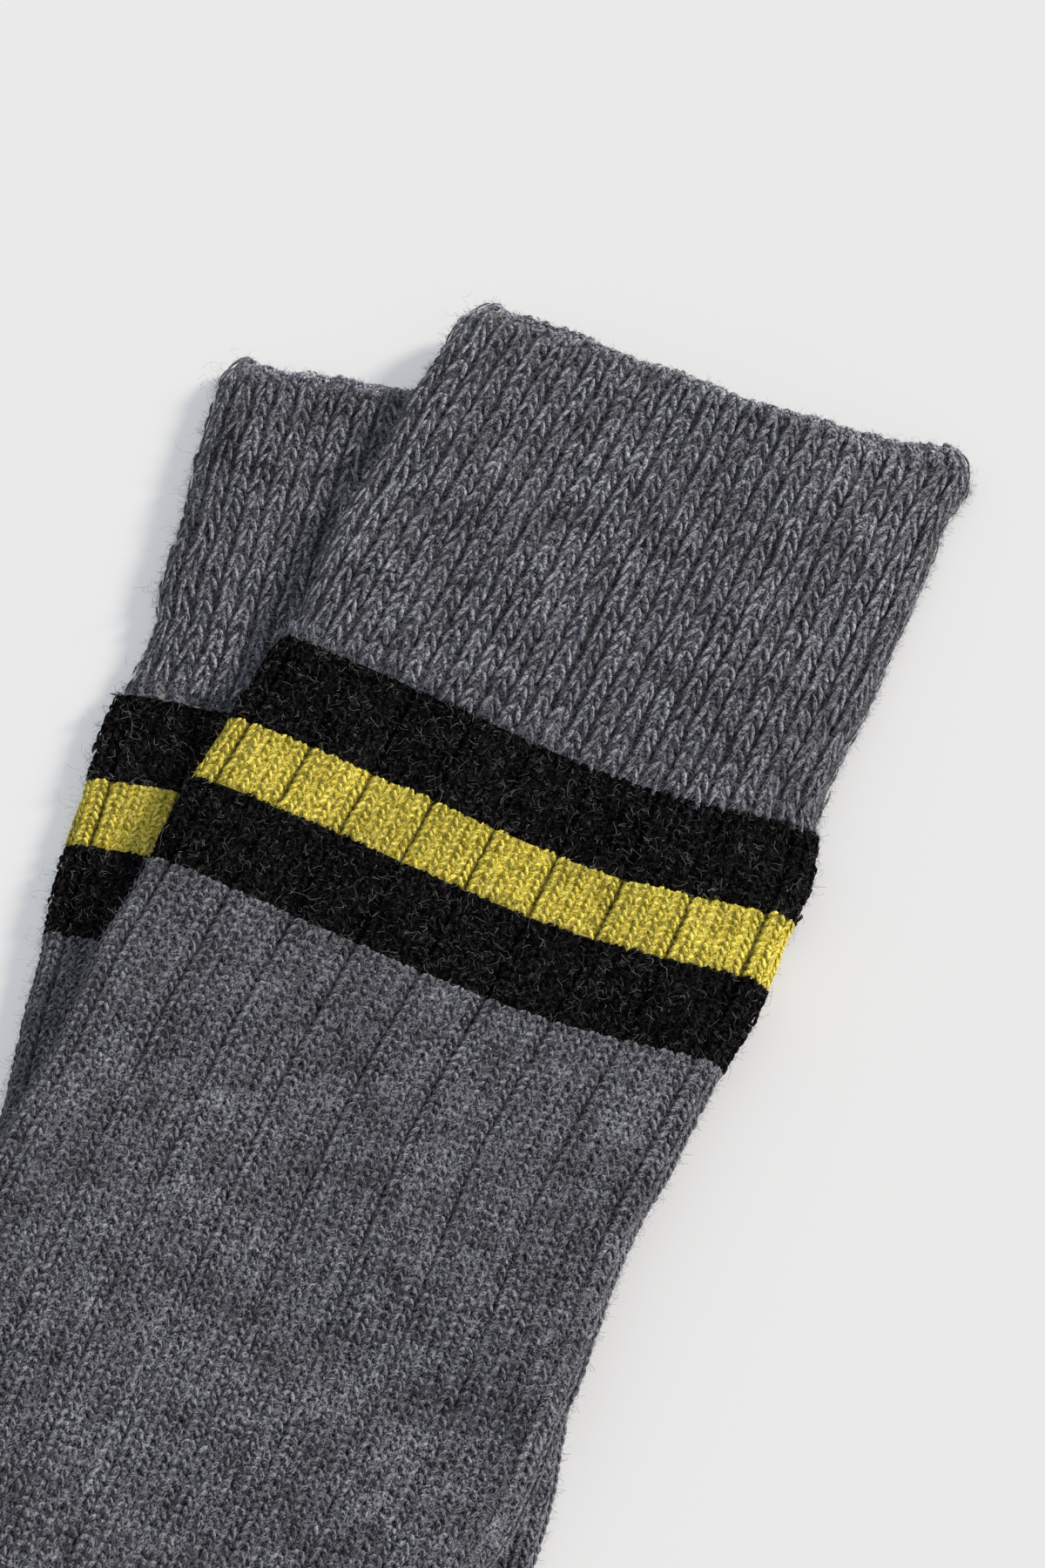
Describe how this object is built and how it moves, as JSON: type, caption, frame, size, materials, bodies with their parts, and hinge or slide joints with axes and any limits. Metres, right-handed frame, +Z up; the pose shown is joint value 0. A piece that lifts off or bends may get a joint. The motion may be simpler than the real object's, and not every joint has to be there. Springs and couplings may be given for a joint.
{
  "type": "pair of wool hiking socks",
  "caption": "Pair of thick knitted wool hiking socks laid flat, one across the other, with a ribbed cuff and banded leg.",
  "frame": {"origin": "on the surface that the socks lie on, under the middle of the pair's bounding box", "axes": "+Z up from that surface; the socks lie in the XY plane with their cuffs towards +Y and their toes towards -X"},
  "size_m": [0.3468, 0.3688, 0.0115],
  "materials": {
    "grey_wool": "heather grey wool knit, matt, with a soft nap",
    "black_wool": "black wool knit, matt, with loose hairs",
    "lime_wool": "lime yellow wool knit, matt, with a soft nap"
  },
  "bodies": {
    "root": {"sock_lower": "grey_wool", "sock_upper": "grey_wool"}
  },
  "joints": []
}
